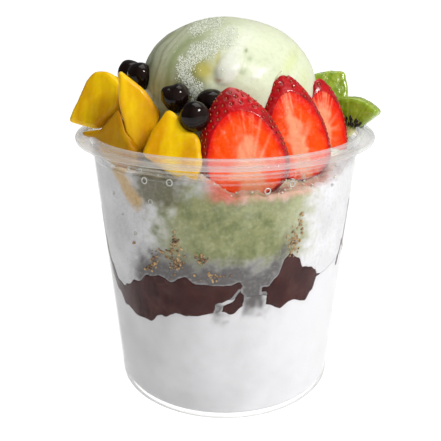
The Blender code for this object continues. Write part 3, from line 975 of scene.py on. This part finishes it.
def make_strawberries():
    finish = tinted("strawberry_look", {"Roughness": 0.3, "Specular_IOR_Level": 0.12}, 0.07, 1.1, 0.12, 0.9)
    gloss = finish.calc("MULTIPLY", finish.attribute("tint").outputs["Alpha"], 0.45)
    finish.link(gloss, finish.shader.inputs["Coat Weight"])
    finish.shader.inputs["Coat Roughness"].default_value = 0.12
    glow_under(finish, 0.2, 1.5, (1.0, 0.25, 0.1))
    pip = flecked("strawberry_seed_look", 1.5, linear(150, 46, 22), linear(196, 104, 48), Roughness=0.3)
    # (leaf end, turn, length, width, depth, skin over the tip, core: lean, low, reach, girth)
    halves = (
        ((9.8, -45.2, 90), (17, -9, 8), 39.5, 31.5, 10.5, 0.30, (2.0, 0.18, 0.42, 0.20)),
        ((29.9, -29.5, 91.9), (15.5, -10, 14), 40.5, 25.4, 8, 0.20, (-1.0, 0.30, 0.48, 0.14)),
        ((39, -12.3, 92), (14, 1, 20), 34.5, 22, 5, 0.06, (0.0, 0.40, 0.42, 0.16)),
        ((6, 45.5, 91), (14, 0, 174), 35, 25, 10, 0.2, (0.0, 0.25, 0.45, 0.16)),
    )
    for number, (place, turn, length, width, depth, tip, core) in enumerate(halves, start=1):
        berry = Berry(length, width, depth, tip, core, number)
        for kind, look, node, (points, faces, tint) in (
                ("half", finish.material, f"strawberry_{number}", berry.skin_points()),
                ("seeds", pip, None, (*berry.seed_shapes(), None))):
            place_object(f"strawberry_{kind}_{number}", keep_in_cup(points, place, turn), faces,
                         look, node, place, turn, tint)


def keep_in_cup(points, place, turn):
    """Presses points that would pass the cup's wall back to its inner side."""
    matrix = standing(place, turn)
    back = matrix.inverted()
    kept = []
    for point in points:
        world = matrix @ (Vector(point) * MM) / MM
        limit = inner_radius(world.z) - 0.3
        if world.z > SHOULDER_Z:
            limit = between(inner_radius(SHOULDER_Z), COLLAR_RADIUS - WALL,
                            smooth(SHOULDER_Z, COLLAR_Z, world.z)) - 0.3
        reach = math.hypot(world.x, world.y)
        if world.z < CUP_HEIGHT + 0.3 and reach > limit:
            world.x *= limit / reach
            world.y *= limit / reach
            point = tuple(back @ (world * MM) / MM)
        kept.append(point)
    return kept


KIWI_FLESH = linear(132, 156, 22)
KIWI_BRIGHT = linear(168, 182, 56)
KIWI_DEEP = linear(84, 114, 8)
KIWI_CORE = linear(226, 220, 150)


def kiwi_tint(radius, centre, seed):
    def paint(x, y, z):
        away = Vector((x - centre[0], z - centre[1]))
        share = away.length / radius
        angle = math.atan2(away.y, away.x)
        rays = noise.noise(Vector((9.0 * math.cos(angle), 9.0 * math.sin(angle), seed)))
        rays += 0.6 * noise.noise(Vector((22 * math.cos(angle), 22 * math.sin(angle), share)))
        colour = mix(KIWI_DEEP, KIWI_FLESH, smooth(0.30, 0.72, share))
        colour = mix(colour, KIWI_BRIGHT, clamp(0.75 * rays + 0.25) * smooth(0.2, 0.5, share))
        core = 1.0 - smooth(0.17, 0.30, share + 0.05 * rays)
        return mix(colour, KIWI_CORE, core)

    return paint


def kiwi_seeds(radius, centre, start, end, thickness, seed):
    """Black seeds round the core, on both faces of the slice."""
    maker = random.Random(seed)
    points, faces = [], []
    count = round((end - start) / 9.0)
    for face_y, out_y in ((0.0, -1.0), (thickness, 1.0)):
        for ring in (0.34, 0.44):
            for step in range(count):
                angle = math.radians(start + (end - start) * (step + maker.uniform(0.1, 0.9)) / count)
                reach = radius * (ring + maker.uniform(-0.04, 0.05))
                out = Vector((math.cos(angle), 0.0, math.sin(angle)))
                side = Vector((-out.z, 0.0, out.x))
                place = Vector((centre[0], face_y, centre[1])) + out * reach
                size = maker.uniform(0.85, 1.15)
                add_drop(points, faces, place, out * -1.1 * size, side * 0.5 * size,
                         Vector((0.0, out_y * 0.35, 0.0)))
    return points, faces


def make_kiwi():
    finish = tinted("kiwi_look", {"Roughness": 0.25, "Specular_IOR_Level": 0.5, "Coat_Weight": 0.3},
                    0.15, 1.2, 0.16, 1.0)
    glow_under(finish, 0.45, 2.5, (0.6, 1.0, 0.15))
    pip = flecked("kiwi_seed_look", 1.0, (0.004, 0.003, 0.003), (0.02, 0.012, 0.01), Roughness=0.25)
    # (place, turn, core place, radius, first and last seed angle, thickness)
    slices = (
        ((44, 18, 116), (25, 0, -6), (-11.0, -11.5), 23.0, 20, 80, 7.0),
        ((48.4, -2, 102), (4, 0, -30), (0.0, 0.0), 15.8, 46, 218, 7.5),
        ((29.5, 39.5, 107.5), (16, 0, 142), (0.0, 0.0), 15.0, -4, 172, 7.5),
    )
    for number, (place, turn, centre, radius, start, end, thickness) in enumerate(slices, start=1):
        paint = kiwi_tint(radius, centre, float(number))
        copied(f"kiwi_piece_{number}", f"kiwi_{number}", place, turn, 4, 0.25, 3.0,
               finish.material, 1.9 * number, paint)
        points, faces = kiwi_seeds(radius, centre, start, end, thickness, number)
        place_object(f"kiwi_seeds_{number}", points, faces, pip, None, place, turn)


def make_pearls():
    finish = Finish("tapioca_look", Roughness=0.1, Specular_IOR_Level=0.2, Coat_Weight=0.03)
    finish.shader.inputs["Coat Roughness"].default_value = 0.04
    tone = finish.blend(finish.ramp(finish.noise(4.0), 0.3, 0.7), (0.0035, 0.0016, 0.0014),
                        (0.014, 0.006, 0.004))
    finish.set(Base_Color=tone, Normal=finish.bump(finish.noise(3.0), 0.12, 0.6))
    places = ((-37, 5, 126), (-31.8, -5.5, 126.2), (-17.3, -26.6, 121.6), (-10.2, -37.8, 117.2),
              (-4.8, -26.5, 119.5), (-34.5, 16, 123.4), (-7.6, 40.6, 116), (-26.5, 27.5, 121))
    for number, place in enumerate(places, start=1):
        uneven = 1.1 if number == 3 else 0.45

        def shape(direction, number=number, uneven=uneven):
            swell = uneven * rough(direction, 0.9, 3.3 * number) + 0.06 * rough(direction, 0.4, number)
            return tuple(direction * (PEARL_RADIUS - 0.1 + min(swell, 0.5)))

        points, faces = ball_grid(72, 48, shape)
        place_object(f"tapioca_pearl_{number}", points, faces, finish.material, f"pearl_{number}",
                     place, (0, 0, 0))


# --- crumbs, bubbles and grains ---


def scattered(name, spots, finish, columns=5, rows=3):
    """One piece of many small grains: each spot is (place, size)."""
    maker = random.Random(len(spots))
    points, faces = [], []
    for place, size in spots:
        spin = Euler([maker.uniform(0, math.tau) for _ in range(3)]).to_matrix()
        axes = [spin @ Vector(axis) * size * maker.uniform(0.6, 1.2)
                for axis in ((1, 0, 0), (0, 1, 0), (0, 0, 1))]
        add_drop(points, faces, Vector(place), *axes, columns=columns, rows=rows)
    place_object(name, points, faces, finish, None)


def wall_point(angle, z, inset):
    return at(math.radians(angle), inner_radius(z) - inset, z)


def make_crumbs():
    """Toasted crumbs that cling between the ice and the wall."""
    maker = random.Random(5)
    # (angle, z, spread in angle, spread in z, count)
    clusters = ((-21, 68, 2.2, 3.2, 34), (-20, 74, 1.3, 2.5, 14), (-31, 66, 1.6, 1.8, 12),
                (-34, 62.5, 2.0, 1.2, 8), (-9.5, 69.5, 1.6, 1.6, 16), (-27, 70, 2.5, 2.0, 8),
                (-41, 71, 0.8, 0.8, 3), (29, 74.5, 2.0, 3.5, 26), (31.5, 81, 1.5, 3.0, 9),
                (-3, 63, 5.0, 1.2, 12), (160, 66, 5.0, 4.0, 40), (-140, 68, 4.0, 4.0, 30))
    spots = []
    for angle, z, wide, tall, count in clusters:
        for _ in range(2 * count):
            here = wall_point(maker.gauss(angle, wide * 0.75), maker.gauss(z, tall * 0.75), -0.6)
            spots.append((here, maker.uniform(0.2, 0.7)))
    finish = Finish("crumb_look", Roughness=0.6)
    tone = finish.blend(finish.ramp(finish.noise(1.6), 0.35, 0.65), linear(112, 82, 56),
                        linear(200, 166, 116))
    finish.set(Base_Color=tone, Normal=finish.bump(finish.noise(0.4), 0.1))
    scattered("toasted_crumbs", spots, finish.material)


def make_grains():
    """Loose grains of ice on the heap."""
    maker = random.Random(11)
    spots = []
    while len(spots) < GRAIN_COUNT:
        angle = maker.uniform(-180, 180)
        radius = HEAP_RADIUS * math.sqrt(maker.uniform(0.2, 1.0))
        share = radius / inner_radius(98.0)
        if share > 0.8 and -62 < angle < 92 and maker.random() < 0.85:
            continue
        x, y, _ = at(math.radians(angle), radius, 0.0)
        z = heap_height(x, y, share)
        spots.append(((x, y, z + 0.1), maker.uniform(0.25, 0.7)))
    look = flecked("grain_look", 2.0, linear(236, 238, 228), linear(206, 214, 186), (0.5, 0.1),
                   Roughness=0.3, Specular_IOR_Level=0.6)
    scattered("ice_grains", spots, look)


def make_frost():
    """Fine frost in bands down the scoop's front left, and thinly elsewhere."""
    maker = random.Random(23)
    spots = []
    matrix = standing(SCOOP_PLACE, (0, SCOOP_TIP, 0))
    while len(spots) < FROST_COUNT:
        x = maker.uniform(-22.0, 2.0)
        z = maker.uniform(-6.0, 26.0)
        across = x / SCOOP_HALVES[0]
        up = z / SCOOP_HALVES[2]
        depth = 1.0 - up * up - across * across
        if depth <= 0 or maker.random() > frost_share(x, z) + 0.004:
            continue
        deep = math.sqrt(depth) * maker.choice((-1, -1, 1))
        if maker.random() < smooth(-3.0, 7.0, deep * SCOOP_HALVES[1]):
            continue
        here = Vector(scoop_shape(Vector((across, deep, up))))
        spots.append((tuple(matrix @ (here * MM) / MM), maker.uniform(0.10, 0.27)))
    look = flecked("frost_look", 1.0, linear(252, 253, 246), linear(222, 228, 204), (0.3, 0.08),
                   Roughness=0.35, Specular_IOR_Level=0.7)
    scattered("scoop_frost", spots, look)


def make_bubbles():
    """Small air bubbles pressed against the wall, each a bright ring round a dark middle. Each ring is a
    light solid torus: a painted reflection of the bubble's rim.
    """
    rings = ((-32, 96.5, 1.3), (-21, 97, 1.3), (-33.5, 100, 0.6), (-30, 89, 1.0), (-40, 75, 0.8),
             (16, 94.5, 1.2), (26, 96, 1.2), (-52, 88, 0.7), (31, 98, 0.7), (48, 92, 0.6),
             (55, 96, 0.5), (-47, 81, 0.5), (150, 80, 1.0), (-130, 84, 1.1), (95, 78, 0.8))
    points, faces = [], []
    around, tube = 20, 8
    for angle, z, radius in rings:
        centre = Vector(wall_point(angle, z, -0.45))
        out = Vector((centre.x, centre.y, 0)).normalized()
        side = Vector((-out.y, out.x, 0))
        thick = 0.2 * radius
        start = len(points)
        for step in range(around):
            turn = math.tau * step / around
            spoke = side * math.cos(turn) + Vector((0, 0, 1)) * math.sin(turn)
            for part in range(tube):
                bend = math.tau * part / tube
                reach = radius - thick + thick * math.cos(bend)
                points.append(tuple(centre + spoke * reach + out * (0.2 + thick * math.sin(bend))))
        for step in range(around):
            faces += quads(start + (step + 1) % around * tube, start + step * tube, tube)
    look = flecked("bubble_ring_painted_reflection", 1.0, linear(214, 214, 204), linear(168, 168, 158),
                   Roughness=0.1, Specular_IOR_Level=0.8)
    place_object("air_bubbles", points, faces, look, None)


# --- stage ---


def make_stage():
    mesh = bpy.data.meshes.new("floor")
    reach = 12.0
    corners = [(-reach, -reach, 0.0), (reach, -reach, 0.0), (reach, reach, 0.0), (-reach, reach, 0.0)]
    mesh.from_pydata(corners, [], [(0, 1, 2, 3)])
    finish = Finish("floor_look", Roughness=0.6)
    tone = finish.blend(finish.noise(400.0), (0.50, 0.50, 0.50), (0.54, 0.54, 0.54))
    finish.set(Base_Color=tone, Emission_Color=(1.0, 1.0, 1.0, 1.0), Emission_Strength=0.93)
    mesh.materials.append(finish.material)
    added("floor", mesh)


def area_light(name, place, target, size, power):
    data = bpy.data.lights.new(name, "AREA")
    data.size = size * MM
    data.energy = power
    light = added(name, data)
    light.location = Vector(place) * MM
    light.rotation_euler = (Vector(target) - Vector(place)).to_track_quat("-Z", "Y").to_euler()


def make_light():
    world = bpy.data.worlds.new("soft_room")
    bpy.context.scene.world = world
    world.use_nodes = True
    tree = world.node_tree
    background = tree.nodes["Background"]
    place = tree.nodes.new("ShaderNodeTexCoord")
    split = tree.nodes.new("ShaderNodeSeparateXYZ")
    ramp = tree.nodes.new("ShaderNodeMapRange")
    tree.links.new(place.outputs["Generated"], split.inputs[0])
    tree.links.new(split.outputs[0], ramp.inputs["Value"])
    background.inputs["Color"].default_value = (1.0, 1.0, 1.0, 1.0)
    for socket, value in (("From Min", -0.8), ("From Max", 0.9), ("To Min", 0.09), ("To Max", 0.45)):
        ramp.inputs[socket].default_value = value
    tree.links.new(ramp.outputs["Result"], background.inputs["Strength"])
    area_light("key", (230, -260, 400), (0, 0, 90), 90, 1.25)
    area_light("top", (60, 60, 520), (0, 0, 100), 300, 0.75)


def make_camera():
    data = bpy.data.cameras.new("view")
    data.lens = CAMERA_LENS
    data.sensor_width = CAMERA_SENSOR
    data.shift_x = CAMERA_SHIFT
    data.clip_start = 0.01
    camera = added("view", data)
    camera.location = Vector(CAMERA_PLACE) * MM
    camera.rotation_euler = (math.radians(90.0 - CAMERA_DROP), 0.0, 0.0)
    bpy.context.scene.camera = camera


def make_contents():
    snow = tinted("snow_look", {"Roughness": 0.5, "Specular_IOR_Level": 0.3}, 0.03, 3.0, 0.12, 1.5)
    glow_under(snow, 0.4, 4.0, (1.0, 1.0, 1.0))
    green = tinted("green_ice_look", {"Roughness": 0.45, "Specular_IOR_Level": 0.25}, 0.17, 1.2, 0.25, 1.0)
    glow_under(green, 0.25, 2.5, (1.0, 1.0, 0.7))
    paste = Finish("bean_paste_look", Roughness=0.4, Specular_IOR_Level=0.09)
    broad = paste.blend(paste.ramp(paste.noise(7.0, 4.0), 0.35, 0.7), linear(46, 27, 26),
                        linear(78, 50, 45))
    husk = paste.blend(paste.ramp(paste.cells(3.2), 0.1, 0.5), broad, linear(66, 30, 30))
    paste.set(Base_Color=paste.blend(0.5, broad, husk))
    paste.set(Normal=paste.bump(paste.noise(2.2, 4.0), 0.5, 0.8))
    make_white_ice(snow.material)
    make_paste(paste.material)
    make_green_ice(green.material)


bpy.context.scene.view_settings.view_transform = "Standard"
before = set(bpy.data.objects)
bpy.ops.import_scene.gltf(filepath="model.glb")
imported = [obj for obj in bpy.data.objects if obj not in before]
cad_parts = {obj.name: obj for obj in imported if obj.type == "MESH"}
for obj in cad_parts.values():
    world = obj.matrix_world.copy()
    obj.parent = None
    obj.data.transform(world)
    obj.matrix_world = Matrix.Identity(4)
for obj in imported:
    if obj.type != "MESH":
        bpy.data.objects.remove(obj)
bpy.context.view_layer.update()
make_camera()
make_light()
make_stage()
make_cup()
make_contents()
make_scoop()
make_mango()
make_strawberries()
make_kiwi()
make_pearls()
make_crumbs()
make_grains()
make_frost()
make_bubbles()
bpy.context.view_layer.update()
